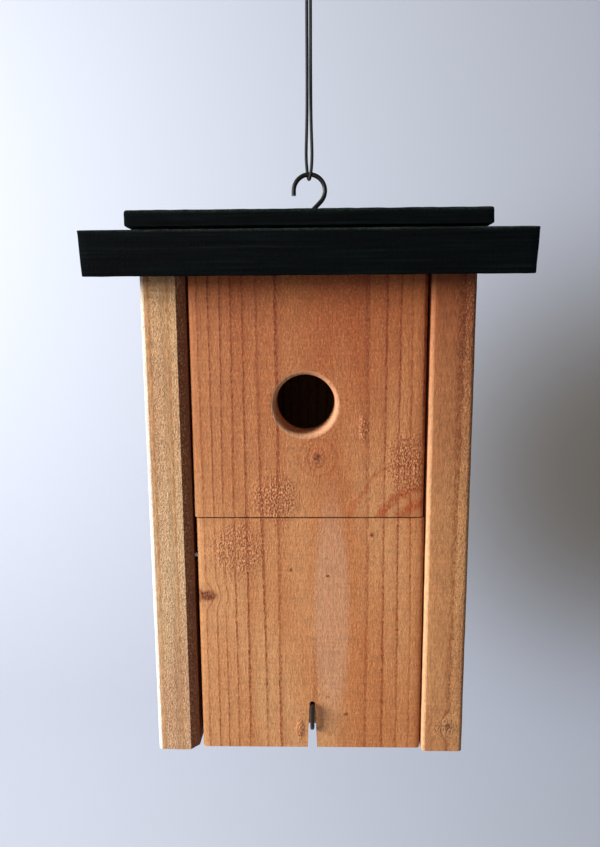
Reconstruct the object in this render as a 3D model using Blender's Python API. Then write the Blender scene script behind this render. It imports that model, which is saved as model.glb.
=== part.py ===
"""A hanging wooden birdhouse with a shallow gable roof, a swing-out cleaning door and a turn hook.

Blender 4.5, in metres, +Z up. The front faces -Y, and the origin is at the middle of the underside.
The box is the fixed part. front_door turns on two nails, and latch_hook turns in the floor board.
"""

import math

import bmesh
import bpy
import numpy as np
from mathutils import Vector

# ---- Driving dimensions, in metres ----

# The box
BOX_WIDTH = 0.173  # across the outsides of the two side boards
BOX_DEPTH = 0.152  # a side board's width, front edge to rear edge
SIDE_HEIGHT = 0.2656  # a side board's height at its front edge
BOARD = 0.022  # thickness of the sawn boards
SIDE_BOARD = 0.023  # thickness of the two side boards, from a slightly heavier stock
SIDE_EASING = 0.0023  # easing of the side boards' outer long edges
LEFT_INNER_EASING = 0.0044  # of the left board's inner front edge, planed off further
RIGHT_INNER_EASING = 0.0024  # and of the right board's

# The front: a fixed upper panel over a door
FRONT_RECESS = 0.002  # how far the front lies behind the side boards' edges
FRONT_SIDE_GAP = 0.0014  # between the front and a side board
FRONT_EASING = 0.0022  # radius of the front's upright edges
DOOR_TOP = 0.1363  # height of the door's top edge
DOOR_LIFT = 0.0006  # the door's lower edge, above the underside of the box
DOOR_SHIFT = 0.0008  # the door hangs this far to the right of the middle
DOOR_TOP_GAP = 0.0008  # the saw cut between the panel and the door
DOOR_REAR_GAP = 0.001  # between the door and the floor board's front edge
DOOR_TOE_EASING = 0.006  # rounds the door's lower rear edge, which dips as it swings
PIVOT_BELOW_TOP = 0.022  # the door's axis, below its top edge
PIVOT_BEHIND_FACE = 0.005  # the door's axis, behind its front face

# The entrance
HOLE_DIAMETER = 0.032
HOLE_HEIGHT = 0.1982
HOLE_OFFSET = -0.0015  # the hole is a little left of the middle
HOLE_RIM = 0.0023  # radius of its rounded front rim

# The roof: two boards that meet at the ridge, and a batten along the ridge
ROOF_LENGTH = 0.222
ROOF_PITCH = math.radians(8.4)
EAVE = 0.014  # from a side board's edge out to the roof board's lower corner
ROOF_WEAR = 0.0008  # radius of the roof's worn edges
CAP_WIDTH = 0.029
CAP_THICKNESS = 0.010

# The hook that the house hangs by
HOOK_WIRE = 0.0028
HOOK_RING = 0.022  # outside diameter of its open ring
HOOK_X = 0.0028  # its shank went in a little right of the middle
HOOK_LEAN = 0.0020  # the ring's centre, to the left of the shank
HOOK_TIP = 0.0029  # the straight end of the wire, below the ring's left side
HOOK_FOOT_ANGLE = math.radians(-45)  # where the ring runs off straight towards the shank
HOOK_FOOT_BEND = 0.0022  # radius of the bend between the ring and the shank
HOOK_SHANK = 0.024  # length of shank in the wood

# The turn hook that holds the door shut
LATCH_WIRE = 0.0024
LATCH_HEIGHT = 0.013  # its shank above the underside
LATCH_X = 0.0016  # its shank and the door's slot are a little right of the middle
LATCH_ARM = 0.015  # from the shank's axis to the arm's tip
LATCH_STANDOFF = 0.0012  # between the door's face and the arm
LATCH_BEND = 0.0026
LATCH_SHANK = 0.020  # length of shank in the floor board
SLOT_FOOT_WIDTH = 0.0054
SLOT_TOP_WIDTH = 0.0032
SLOT_OVER_TIP = 0.0008  # the slot reaches this far above the arm's tip
SLOT_REAR_RISE = 0.0016  # its top climbs by this much through the door, which swings over the arm

# Nails
NAIL_DIAMETER = 0.0026
NAIL_LENGTH = 0.045
NAIL_HEAD = 0.0058
NAIL_HEAD_THICKNESS = 0.0010
NAIL_SINK = 0.0002  # how far a head is driven below the surface
PIVOT_NAIL_DIAMETER = 0.0030
NAIL_TO_CORNER = 0.030  # from the end of a joint to its first nail
CAP_NAIL_INSET = 0.026
CAP_NAIL_SPREAD = 0.007  # from the ridge to a nail, on either side of the joint

# The doubled string
STRING_DIAMETER = 0.0020
STRING_RISE = 0.103  # from the top of the hook's ring up to the knot
KNOT_HEIGHT = 0.010
KNOT_WIDTH = 0.0074

# Clearances
SEAT = 0.0003  # between pieces that rest on or against each other
SNUG = 0.0001  # round a nail or a hook in its hole, and round and under a nail's head

# ---- Sizes that follow from them ----

INNER_WIDTH = BOX_WIDTH - 2 * SIDE_BOARD
HALF_DEPTH = BOX_DEPTH / 2
SLOPE = math.tan(ROOF_PITCH)
RIDGE_UNDERSIDE = SIDE_HEIGHT + HALF_DEPTH * SLOPE + SEAT
ROOF_RISE = BOARD / math.cos(ROOF_PITCH)  # a roof board's thickness, measured upright
RIDGE_TOP = RIDGE_UNDERSIDE + ROOF_RISE
CAP_BOTTOM = RIDGE_TOP + SEAT
CAP_TOP = CAP_BOTTOM + CAP_THICKNESS
FRONT_FACE = -HALF_DEPTH + FRONT_RECESS
FRONT_REAR = FRONT_FACE + BOARD
FRONT_WIDTH = INNER_WIDTH - 2 * FRONT_SIDE_GAP
BACK_FACE = HALF_DEPTH - BOARD
PANEL_BOTTOM = DOOR_TOP + DOOR_TOP_GAP
PIVOT_Y = FRONT_FACE + PIVOT_BEHIND_FACE
PIVOT_Z = DOOR_TOP - PIVOT_BELOW_TOP
FLOOR_FRONT = FRONT_REAR + DOOR_REAR_GAP
RING_RADIUS = (HOOK_RING - HOOK_WIRE) / 2
HOOK_ELBOW = (RING_RADIUS - HOOK_LEAN * math.cos(HOOK_FOOT_ANGLE)) / math.sin(-HOOK_FOOT_ANGLE)
HOOK_RISE = HOOK_ELBOW + HOOK_FOOT_BEND * math.tan(math.pi / 4 + HOOK_FOOT_ANGLE / 2)
RING_CENTRE = CAP_TOP + HOOK_RISE
RING_X = HOOK_X - HOOK_LEAN
KNOT_BOTTOM = RING_CENTRE + RING_RADIUS + STRING_RISE
ARM_Y = FRONT_FACE - LATCH_STANDOFF - LATCH_WIRE / 2
SLOT_TOP = LATCH_HEIGHT + LATCH_ARM + SLOT_OVER_TIP

# ---- Materials ----


def material(name, colour, roughness, metallic=0.0):
    made = bpy.data.materials.new(name)
    made.use_nodes = True
    shader = made.node_tree.nodes["Principled BSDF"]
    shader.inputs["Base Color"].default_value = (*colour, 1.0)
    shader.inputs["Roughness"].default_value = roughness
    shader.inputs["Metallic"].default_value = metallic
    return made


def clear_scene():
    for old in list(bpy.data.objects):
        bpy.data.objects.remove(old, do_unlink=True)


# ---- Making and joining shapes ----


def add_object(name, data, parent, finish=None):
    """Links an object for this mesh or curve. With no finish it is a cutter, left out of the part."""
    made = bpy.data.objects.new(name, data)
    bpy.context.scene.collection.objects.link(made)
    made.parent = parent
    if finish:
        data.materials.append(finish)
    else:
        made.hide_render = True
        made.display_type = "WIRE"
    return made


def mesh_from(name, shape):
    bmesh.ops.recalc_face_normals(shape, faces=shape.faces[:])
    mesh = bpy.data.meshes.new(name)
    shape.to_mesh(mesh)
    shape.free()
    return mesh


def prism(outline, low, high, along):
    """A bmesh of an outline given as (across, up) points, run from low to high along X or Y."""
    if along == "X":
        start = [(low, across, up) for across, up in outline]
        run = Vector((high - low, 0, 0))
    else:
        start = [(across, low, up) for across, up in outline]
        run = Vector((0, high - low, 0))
    shape = bmesh.new()
    face = shape.faces.new([shape.verts.new(point) for point in start])
    moved = bmesh.ops.extrude_face_region(shape, geom=[face])["geom"]
    ends = [item for item in moved if isinstance(item, bmesh.types.BMVert)]
    bmesh.ops.translate(shape, verts=ends, vec=run)
    return shape


def round_edges(shape, chosen, radius, segments, profile=0.5):
    """Rounds the edges that chosen(middle, direction) picks. A lower profile is flatter."""
    picked = []
    for edge in shape.edges:
        first, second = (vert.co for vert in edge.verts)
        if chosen((first + second) / 2, (second - first).normalized()):
            picked.append(edge)
    bmesh.ops.bevel(
        shape, geom=picked, offset=radius, segments=segments, profile=profile, affect="EDGES"
    )


def turned(profile, segments):
    """A bmesh of a profile of (radius, height) points, spun about Z."""
    shape = bmesh.new()
    points = [shape.verts.new((radius, 0, height)) for radius, height in profile]
    edges = [shape.edges.new(pair) for pair in zip(points, points[1:])]
    bmesh.ops.spin(
        shape,
        geom=points + edges,
        cent=(0, 0, 0),
        axis=(0, 0, 1),
        angle=2 * math.pi,
        steps=segments,
        use_merge=True,
    )
    bmesh.ops.remove_doubles(shape, verts=shape.verts[:], dist=1e-6)
    return shape


def smooth(made):
    made.data.shade_smooth()
    made.data.set_sharp_from_angle(angle=math.radians(35))


def cut(target, cutter):
    taken = target.modifiers.new(cutter.name, "BOOLEAN")
    taken.operation = "DIFFERENCE"
    taken.solver = "EXACT"
    taken.object = cutter


def wire(name, points, thickness, resolution, parent, finish):
    """A tube with flat ends along these points."""
    curve = bpy.data.curves.new(name, "CURVE")
    curve.dimensions = "3D"
    curve.bevel_depth = thickness / 2
    curve.bevel_resolution = resolution
    curve.use_fill_caps = True
    line = curve.splines.new("POLY")
    line.points.add(len(points) - 1)
    for point, place in zip(line.points, points):
        point.co = (*place, 1.0)
    line.use_smooth = True
    return add_object(name, curve, parent, finish)


def arc(centre, radius, start, end, steps):
    """Points (across, up) on an arc, both ends included."""
    angles = np.linspace(start, end, steps + 1)
    return [
        (centre[0] + radius * math.cos(a), centre[1] + radius * math.sin(a)) for a in angles
    ]


def corner(before, bend, after, radius, steps):
    """Points (across, up) of a round bend at one corner of a path."""
    bend = Vector(bend)
    inward = (Vector(before) - bend).normalized()
    outward = (Vector(after) - bend).normalized()
    half = inward.angle(outward) / 2
    middle = bend + (inward + outward).normalized() * radius / math.sin(half)
    start = bend + inward * radius / math.tan(half) - middle
    end = bend + outward * radius / math.tan(half) - middle
    first = math.atan2(start.y, start.x)
    turn = math.atan2(start.x * end.y - start.y * end.x, start.dot(end))
    return arc(middle, radius, first, first + turn, steps)


# ---- Nails ----


def roof_side(name):
    return -1 if name == "front" else 1


def nail_list():
    """Every nail as (name, head's seat, direction out of the wood, shank diameter)."""
    nails = []
    panel_y = (FRONT_FACE + FRONT_REAR) / 2
    back_y = (BACK_FACE + HALF_DEPTH) / 2
    side_joints = {
        "panel": [
            (panel_y, PANEL_BOTTOM + NAIL_TO_CORNER),
            (panel_y, SIDE_HEIGHT - NAIL_TO_CORNER),
        ],
        "back": [(back_y, NAIL_TO_CORNER), (back_y, SIDE_HEIGHT - NAIL_TO_CORNER)],
        "floor": [
            (FLOOR_FRONT + NAIL_TO_CORNER, BOARD / 2),
            (BACK_FACE - NAIL_TO_CORNER, BOARD / 2),
        ],
    }
    for hand, sign in (("left", -1), ("right", 1)):
        outside = sign * BOX_WIDTH / 2
        out = Vector((sign, 0, 0))
        for joint, places in side_joints.items():
            for number, (y, z) in enumerate(places, 1):
                nails.append(
                    (f"nail_{hand}_{joint}_{number}", Vector((outside, y, z)), out, NAIL_DIAMETER)
                )
        seat = Vector((outside, PIVOT_Y, PIVOT_Z))
        nails.append((f"door_pivot_nail_{hand}", seat, out, PIVOT_NAIL_DIAMETER))
        for part in ("front", "rear"):
            side = roof_side(part)
            up = Vector((0, side * math.sin(ROOF_PITCH), math.cos(ROOF_PITCH)))
            for number, share in enumerate((0.30, 0.72), 1):
                y = side * HALF_DEPTH * share
                x = sign * (BOX_WIDTH - SIDE_BOARD) / 2
                seat = Vector((x, y, RIDGE_TOP - abs(y) * SLOPE))
                nails.append((f"nail_{hand}_roof_{part}_{number}", seat, up, NAIL_DIAMETER))
            seat = Vector(
                (sign * (ROOF_LENGTH / 2 - CAP_NAIL_INSET), side * CAP_NAIL_SPREAD, CAP_TOP)
            )
            nails.append((f"nail_{hand}_cap_{part}", seat, Vector((0, 0, 1)), NAIL_DIAMETER))
    return nails


def nail_length(name):
    return NAIL_LENGTH * 0.6 if "_cap_" in name else NAIL_LENGTH


def place_on(made, seat, out):
    made.rotation_mode = "QUATERNION"
    made.rotation_quaternion = out.to_track_quat("Z", "Y")
    made.location = seat


def make_nails(nails, parent, finish):
    """A turned nail for each entry: point, shank and a slightly domed head, just sunk."""
    for name, seat, out, thickness in nails:
        length = nail_length(name)
        under = -NAIL_SINK - NAIL_HEAD_THICKNESS
        profile = [
            (0, -length),
            (thickness / 2, -length + 1.5 * thickness),
            (thickness / 2, under),
            (NAIL_HEAD / 2, under),
            (NAIL_HEAD / 2, under + 0.6 * NAIL_HEAD_THICKNESS),
            (0.36 * NAIL_HEAD, under + NAIL_HEAD_THICKNESS),
            (0, under + NAIL_HEAD_THICKNESS),
        ]
        segments = 24 if "pivot" in name else 12
        made = add_object(name, mesh_from(name, turned(profile, segments)), parent, finish)
        smooth(made)
        place_on(made, seat, out)


def make_nail_cutter(nails, parent):
    """One cutter with a hole for every nail and its head, a little wider and longer than the nail."""
    shape = bmesh.new()
    for name, seat, out, thickness in nails:
        length = nail_length(name) + 2 * SEAT
        segments = 24 if "pivot" in name else 12
        radius = thickness / 2 + SNUG
        head = NAIL_HEAD / 2 + SNUG
        under = -NAIL_SINK - NAIL_HEAD_THICKNESS - SNUG
        profile = [(0, -length), (radius, -length), (radius, under), (head, under)]
        profile += [(head, 2 * SNUG), (0, 2 * SNUG)]
        hole = turned(profile, segments)
        turn = out.to_track_quat("Z", "Y").to_matrix()
        for vert in hole.verts:
            vert.co = turn @ vert.co + seat
        lump = mesh_from("hole", hole)
        shape.from_mesh(lump)
        bpy.data.meshes.remove(lump)
    return add_object("nail_hole_cutter", mesh_from("nail_hole_cutter", shape), parent)


# ---- Boards ----


def upright(middle, direction):
    return abs(direction.z) > 0.99


def roof_line(y, gap=0.0):
    """Height of the roof's underside at this depth, less a gap."""
    return RIDGE_UNDERSIDE - abs(y) * SLOPE - gap


def make_side(hand, parent, finish):
    """A side board, whose top follows the gable, with three of its long edges eased."""
    sign = -1 if hand == "left" else 1
    outline = [
        (-HALF_DEPTH, 0),
        (HALF_DEPTH, 0),
        (HALF_DEPTH, roof_line(HALF_DEPTH, SEAT)),
        (0, roof_line(0, SEAT)),
        (-HALF_DEPTH, roof_line(HALF_DEPTH, SEAT)),
    ]
    faces = sorted((sign * BOX_WIDTH / 2, sign * INNER_WIDTH / 2))
    shape = prism(outline, faces[0], faces[1], "X")
    middle_x = sign * (BOX_WIDTH - SIDE_BOARD) / 2

    def outer(middle, direction):
        return upright(middle, direction) and abs(middle.x) > abs(middle_x)

    def inner(middle, direction):
        return upright(middle, direction) and abs(middle.x) < abs(middle_x) and middle.y < 0

    round_edges(shape, outer, SIDE_EASING, 4)
    if hand == "left":
        round_edges(shape, inner, LEFT_INNER_EASING, 5, profile=0.36)
    else:
        round_edges(shape, inner, RIGHT_INNER_EASING, 4)
    name = f"{hand}_side_board"
    made = add_object(name, mesh_from(name, shape), parent, finish)
    smooth(made)
    return made


def make_back(parent, finish):
    """The back board, between the sides and flush with their rear edges."""
    outline = [
        (BACK_FACE, 0),
        (HALF_DEPTH, 0),
        (HALF_DEPTH, roof_line(HALF_DEPTH, SEAT)),
        (BACK_FACE, roof_line(BACK_FACE, SEAT)),
    ]
    half = INNER_WIDTH / 2 - SEAT
    shape = prism(outline, -half, half, "X")
    return add_object("back_board", mesh_from("back_board", shape), parent, finish)


def make_floor(parent, finish, latch_cutter):
    """The floor board, between the sides and behind the door."""
    rear = BACK_FACE - SEAT
    outline = [(FLOOR_FRONT, 0), (rear, 0), (rear, BOARD), (FLOOR_FRONT, BOARD)]
    half = INNER_WIDTH / 2 - SEAT
    shape = prism(outline, -half, half, "X")
    made = add_object("floor_board", mesh_from("floor_board", shape), parent, finish)
    cut(made, latch_cutter)
    return made


def front_uprights(middle, direction):
    return upright(middle, direction) and middle.y < FRONT_FACE + SEAT


def make_panel(parent, finish):
    """The fixed upper panel, with the entrance hole and its rounded rim."""
    outline = [
        (FRONT_FACE, PANEL_BOTTOM),
        (FRONT_REAR, PANEL_BOTTOM),
        (FRONT_REAR, roof_line(FRONT_REAR, SEAT)),
        (FRONT_FACE, roof_line(FRONT_FACE, SEAT)),
    ]
    shape = prism(outline, -FRONT_WIDTH / 2, FRONT_WIDTH / 2, "X")
    round_edges(shape, front_uprights, FRONT_EASING, 3)
    made = add_object("upper_front_panel", mesh_from("upper_front_panel", shape), parent, finish)
    radius = HOLE_DIAMETER / 2
    rim = arc((radius + HOLE_RIM, -HOLE_RIM), HOLE_RIM, math.pi, math.pi / 2, 4)
    profile = [(0, -BOARD - 0.004), (radius, -BOARD - 0.004), *rim]
    profile += [(radius + HOLE_RIM, 0.004), (0, 0.004)]
    cutter = add_object("entrance_cutter", mesh_from("entrance_cutter", turned(profile, 48)), parent)
    place_on(cutter, Vector((HOLE_OFFSET, FRONT_FACE, HOLE_HEIGHT)), Vector((0, -1, 0)))
    cut(made, cutter)
    smooth(made)
    return made


def make_door(parent, finish):
    """The door, in place under the panel, with its object's origin on its axis."""
    pivot = Vector((DOOR_SHIFT, PIVOT_Y, PIVOT_Z))
    front = FRONT_FACE - pivot.y
    rear = FRONT_REAR - pivot.y
    bottom = DOOR_LIFT - pivot.z
    top = DOOR_TOP - pivot.z
    toe = arc(
        (rear - DOOR_TOE_EASING, bottom + DOOR_TOE_EASING), DOOR_TOE_EASING, -math.pi / 2, 0, 4
    )
    outline = [(front, bottom), *toe, (rear, top), (front, top)]
    shape = prism(outline, -FRONT_WIDTH / 2, FRONT_WIDTH / 2, "X")
    round_edges(
        shape,
        lambda middle, direction: upright(middle, direction) and middle.y < front + SEAT,
        FRONT_EASING,
        3,
    )
    made = add_object("front_door", mesh_from("front_door", shape), parent, finish)
    made.location = pivot
    half_foot = SLOT_FOOT_WIDTH / 2
    half_top = SLOT_TOP_WIDTH / 2
    below = 0.002
    widening = (half_foot - half_top) / (SLOT_TOP - half_top)
    slot = [
        (LATCH_X - half_foot - widening * below, -below),
        (LATCH_X + half_foot + widening * below, -below),
        *arc((LATCH_X, SLOT_TOP - half_top), half_top, 0, math.pi, 8),
    ]
    shape = prism(slot, FRONT_FACE - below, FRONT_REAR + below, "Y")
    for vert in shape.verts:
        if vert.co.y > PIVOT_Y and vert.co.z > SLOT_TOP - half_top - SNUG:
            vert.co.z += SLOT_REAR_RISE
    cutter = add_object("slot_cutter", mesh_from("slot_cutter", shape), parent)
    cut(made, cutter)
    smooth(made)
    return made


def make_roof_board(part, parent, finish):
    """One roof board: mitred upright at the ridge and cut square at the eave."""
    side = roof_side(part)
    reach = HALF_DEPTH + EAVE
    lean = BOARD * math.sin(ROOF_PITCH)
    fall = reach * SLOPE
    outline = [
        (side * SEAT / 2, RIDGE_UNDERSIDE),
        (side * reach, RIDGE_UNDERSIDE - fall),
        (side * (reach + lean), RIDGE_UNDERSIDE - fall + BOARD * math.cos(ROOF_PITCH)),
        (side * SEAT / 2, RIDGE_TOP),
    ]
    shape = prism(outline, -ROOF_LENGTH / 2, ROOF_LENGTH / 2, "X")
    name = f"roof_{part}_board"
    made = add_object(name, mesh_from(name, shape), parent, finish)
    wear_edges(made)
    return made


def wear_edges(made):
    worn = made.modifiers.new("worn_edges", "BEVEL")
    worn.width = ROOF_WEAR
    worn.segments = 2
    worn.limit_method = "ANGLE"
    worn.angle_limit = math.radians(30)


def make_cap(parent, finish):
    """The ridge cap: a flat batten that rests on the ridge."""
    half = CAP_WIDTH / 2
    outline = [(-half, CAP_BOTTOM), (half, CAP_BOTTOM), (half, CAP_TOP), (-half, CAP_TOP)]
    shape = prism(outline, -ROOF_LENGTH / 2, ROOF_LENGTH / 2, "X")
    made = add_object("ridge_cap", mesh_from("ridge_cap", shape), parent, finish)
    wear_edges(made)
    return made


# ---- Hooks ----


def make_hanging_hook(parent, finish):
    """An open ring of wire, bent in under its middle to a shank that is screwed into the ridge."""
    tip = (-RING_RADIUS, -HOOK_TIP)
    ring = arc((0, 0), RING_RADIUS, math.pi, HOOK_FOOT_ANGLE, 40)
    elbow = (HOOK_LEAN, -HOOK_ELBOW)
    end = (HOOK_LEAN, -HOOK_RISE - HOOK_SHANK)
    path = [tip, *ring, *corner(ring[-1], elbow, end, HOOK_FOOT_BEND, 6), end]
    points = [(x, 0, z) for x, z in path]
    made = wire("hanging_hook", points, HOOK_WIRE, 4, parent, finish)
    made.location = (RING_X, 0, RING_CENTRE)
    return made


def make_latch(parent, finish):
    """An L-shaped hook, with its object's origin on the shank's axis at the floor board's edge."""
    arm = ARM_Y - FLOOR_FRONT
    shank = (LATCH_SHANK, 0)
    elbow = (arm, 0)
    tip = (arm, LATCH_ARM)
    path = [shank, (0, 0), *corner((0, 0), elbow, tip, LATCH_BEND, 6), tip]
    made = wire("latch_hook", [(0, y, z) for y, z in path], LATCH_WIRE, 4, parent, finish)
    made.location = (LATCH_X, FLOOR_FRONT, LATCH_HEIGHT)
    return made


def shank_cutter(name, thickness, length, seat, out, parent):
    """A cutter for a hook's shank, which starts just outside the wood."""
    radius = thickness / 2 + SNUG
    profile = [(0, -length - SEAT), (radius, -length - SEAT), (radius, 2 * SEAT), (0, 2 * SEAT)]
    made = add_object(name, mesh_from(name, turned(profile, 12)), parent)
    place_on(made, seat, out)
    return made


# ---- String ----

# Each strand's centreline, in millimetres from the wire's centre at the top of the hook's ring. It
# starts under the wire, where the two halves of the bight meet, and ends under the knot.
FRONT_STRAND = [
    (0.10, -0.15, -2.80),
    (0.35, -1.60, -2.45),
    (0.70, -2.80, -1.35),
    (1.00, -3.35, 0.30),
    (1.25, -3.35, 2.20),
    (1.45, -3.00, 4.60),
    (1.62, -2.45, 7.60),
    (1.70, -1.85, 11.2),
    (1.66, -1.20, 15.6),
    (1.50, -0.60, 21.0),
    (1.30, -0.15, 28.0),
    (1.18, 0.25, 36.0),
    (1.10, 0.45, 45.0),
    (1.08, 0.35, 55.0),
    (1.06, 0.10, 66.0),
    (1.08, -0.20, 78.0),
    (1.10, -0.35, 90.0),
]
REAR_STRAND = [
    (-0.10, 0.15, -2.80),
    (-0.35, 1.60, -2.45),
    (-0.70, 2.80, -1.35),
    (-1.00, 3.35, 0.30),
    (-1.25, 3.35, 2.20),
    (-1.50, 3.00, 4.60),
    (-1.72, 2.45, 7.60),
    (-1.85, 1.85, 11.2),
    (-1.80, 1.20, 15.6),
    (-1.62, 0.60, 21.0),
    (-1.40, 0.15, 28.0),
    (-1.22, -0.25, 36.0),
    (-1.12, -0.45, 45.0),
    (-1.08, -0.35, 55.0),
    (-1.06, -0.10, 66.0),
    (-1.08, 0.20, 78.0),
    (-1.10, 0.35, 90.0),
]


def smooth_line(route, spacing):
    """Evenly spaced points on a Catmull-Rom curve through the route's points."""
    route = [Vector(point) for point in route]
    route = [2 * route[0] - route[1], *route, 2 * route[-1] - route[-2]]
    fine = []
    for before, first, second, after in zip(route, route[1:], route[2:], route[3:]):
        for step in range(12):
            t = step / 12
            fine.append(
                0.5
                * (
                    2 * first
                    + t * (second - before)
                    + t**2 * (2 * before - 5 * first + 4 * second - after)
                    + t**3 * (3 * first - 3 * second + after - before)
                )
            )
    fine.append(route[-2])
    steps = [(b - a).length for a, b in zip(fine, fine[1:])]
    along = np.concatenate([[0], np.cumsum(steps)])
    count = max(2, round(along[-1] / spacing))
    wanted = np.linspace(0, along[-1], count + 1)
    columns = [np.interp(wanted, along, [point[k] for point in fine]) for k in range(3)]
    return [Vector(point) for point in zip(*columns)]


def make_strand(name, route, parent, finish):
    """One strand of the string, taut from under the hook's wire up to the knot."""
    top = Vector((RING_X, 0, RING_CENTRE + RING_RADIUS))
    places = [top + Vector(point) / 1000 for point in route]
    places.append(Vector((places[-1].x, places[-1].y, KNOT_BOTTOM - SEAT)))
    points = smooth_line(places, 2 * STRING_DIAMETER)
    start = smooth_line(places[:7], STRING_DIAMETER / 2)
    joined = start[:-1] + [point for point in points if point.z > start[-1].z]
    return wire(name, joined, STRING_DIAMETER, 2, parent, finish)


def make_knot(parent, finish):
    """The knot that joins the strands, as the plain solid of its outer shape."""
    half = KNOT_WIDTH / 2
    flat = 0.35 * half
    rise = KNOT_HEIGHT / 2
    side = [
        (flat + (half - flat) * math.cos(a), rise * math.sin(a))
        for a in np.linspace(-math.pi / 2, math.pi / 2, 9)
    ]
    shape = turned([(0, -rise), *side, (0, rise)], 16)
    made = add_object("string_knot", mesh_from("string_knot", shape), parent, finish)
    made.location = (RING_X, 0, KNOT_BOTTOM + rise)
    smooth(made)
    return made


# ---- The birdhouse ----


def build():
    clear_scene()
    tan_wood = material("rough_sawn_tan_fir", (0.56, 0.34, 0.17), 0.82)
    red_wood = material("planed_reddish_fir", (0.50, 0.22, 0.09), 0.68)
    brown_wood = material("rough_sawn_brown_fir", (0.42, 0.23, 0.10), 0.85)
    black_wood = material("black_stained_wood", (0.012, 0.014, 0.015), 0.62)
    black_metal = material("black_enamelled_wire", (0.010, 0.010, 0.012), 0.35)
    steel = material("galvanised_nail_steel", (0.46, 0.46, 0.45), 0.42, 1.0)
    thread = material("black_braided_string", (0.018, 0.019, 0.020), 0.9)

    box = bpy.data.objects.new("box", None)
    bpy.context.scene.collection.objects.link(box)

    nails = nail_list()
    make_nails(nails, box, steel)
    nail_cutter = make_nail_cutter(nails, box)
    hook_seat = Vector((HOOK_X, 0, CAP_TOP))
    hook_cutter = shank_cutter(
        "hook_hole_cutter", HOOK_WIRE, HOOK_SHANK, hook_seat, Vector((0, 0, 1)), box
    )
    latch_seat = Vector((LATCH_X, FLOOR_FRONT, LATCH_HEIGHT))
    latch_cutter = shank_cutter(
        "latch_hole_cutter", LATCH_WIRE, LATCH_SHANK, latch_seat, Vector((0, -1, 0)), box
    )

    nailed = [
        make_side("left", box, tan_wood),
        make_side("right", box, brown_wood),
        make_back(box, brown_wood),
        make_floor(box, brown_wood, latch_cutter),
        make_panel(box, red_wood),
        make_door(box, red_wood),
    ]
    roof = [
        make_roof_board("front", box, black_wood),
        make_roof_board("rear", box, black_wood),
        make_cap(box, black_wood),
    ]
    for board in nailed + roof:
        cut(board, nail_cutter)
    for board in roof:
        cut(board, hook_cutter)

    make_hanging_hook(box, black_metal)
    make_latch(box, black_metal)
    make_strand("string_front_strand", FRONT_STRAND, box, thread)
    make_strand("string_rear_strand", REAR_STRAND, box, thread)
    make_knot(box, thread)


build()
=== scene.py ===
# %% [markdown]
# # A hanging wooden birdhouse
# This lesson dresses a plain measured model of a birdhouse until it looks like the real thing: six
# sawn fir boards nailed into a box, a door that swings out for cleaning, a black stained roof, and
# a wire hook on a doubled string. The measured model gives every size and place. Here its boards
# are made again by hand, with eased and worn edges, and every surface gets a material of its own.

# %% Load the measured model
import math

import bmesh
import bpy
from mathutils import Matrix, Vector


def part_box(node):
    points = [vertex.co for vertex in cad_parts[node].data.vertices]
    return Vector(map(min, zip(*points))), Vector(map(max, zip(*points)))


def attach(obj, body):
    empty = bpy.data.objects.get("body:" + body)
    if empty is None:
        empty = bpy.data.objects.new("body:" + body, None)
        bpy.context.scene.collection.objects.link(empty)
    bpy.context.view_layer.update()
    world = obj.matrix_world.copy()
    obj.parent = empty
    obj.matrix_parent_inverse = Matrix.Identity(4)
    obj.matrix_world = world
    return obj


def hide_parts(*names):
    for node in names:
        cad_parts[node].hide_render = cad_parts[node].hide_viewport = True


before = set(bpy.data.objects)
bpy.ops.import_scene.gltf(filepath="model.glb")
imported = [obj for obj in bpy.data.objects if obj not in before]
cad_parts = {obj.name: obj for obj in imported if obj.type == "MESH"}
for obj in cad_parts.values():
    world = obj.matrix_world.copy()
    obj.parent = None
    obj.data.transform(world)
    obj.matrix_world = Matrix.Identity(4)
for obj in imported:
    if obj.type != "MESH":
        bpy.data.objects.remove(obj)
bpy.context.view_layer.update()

# %% [markdown]
# ## The camera
# The birdhouse hangs a little below eye level and quite near, so its roof hides its own slopes and
# the box narrows towards the bottom. A near camera with a fairly wide lens gives that. It is turned
# with three small rotations: left, down, and a slight roll, because nobody holds a camera straight.

# %% Place the camera
CAMERA_PLACE = Vector((0.0026, -0.4023, 0.2372))
CAMERA_LEFT = math.radians(1.21)
CAMERA_DOWN = math.radians(8.46)
CAMERA_ROLL = math.radians(-0.38)

lens = bpy.data.cameras.new("camera")
lens.lens = 26.61
lens.clip_start = 0.01
camera = bpy.data.objects.new("camera", lens)
bpy.context.scene.collection.objects.link(camera)
camera.matrix_world = (
    Matrix.Translation(CAMERA_PLACE)
    @ Matrix.Rotation(CAMERA_LEFT, 4, "Z")
    @ Matrix.Rotation(math.pi / 2 - CAMERA_DOWN, 4, "X")
    @ Matrix.Rotation(CAMERA_ROLL, 4, "Z")
)
bpy.context.scene.camera = camera
print("camera", round(-CAMERA_PLACE.y, 3), "m in front of the middle of the box")

# %% [markdown]
# ## Three small tools for materials
# A material is a tree of nodes. One function adds any node: it sets it, feeds its inputs with
# numbers or with other nodes' outputs, and gives back the output that the next node needs. Colours
# are written as the hex codes that a paint chart uses, and one function turns them to the linear
# light that a renderer adds up. A third one starts a material.


# %% Tools for materials
def linear(hex_code, alpha=1.0):
    """A hex colour such as #C08A5E as linear red, green, blue and alpha."""
    parts = [int(hex_code[k : k + 2], 16) / 255 for k in (1, 3, 5)]
    light = [c / 12.92 if c <= 0.04045 else ((c + 0.055) / 1.055) ** 2.4 for c in parts]
    return (*light, alpha)


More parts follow.
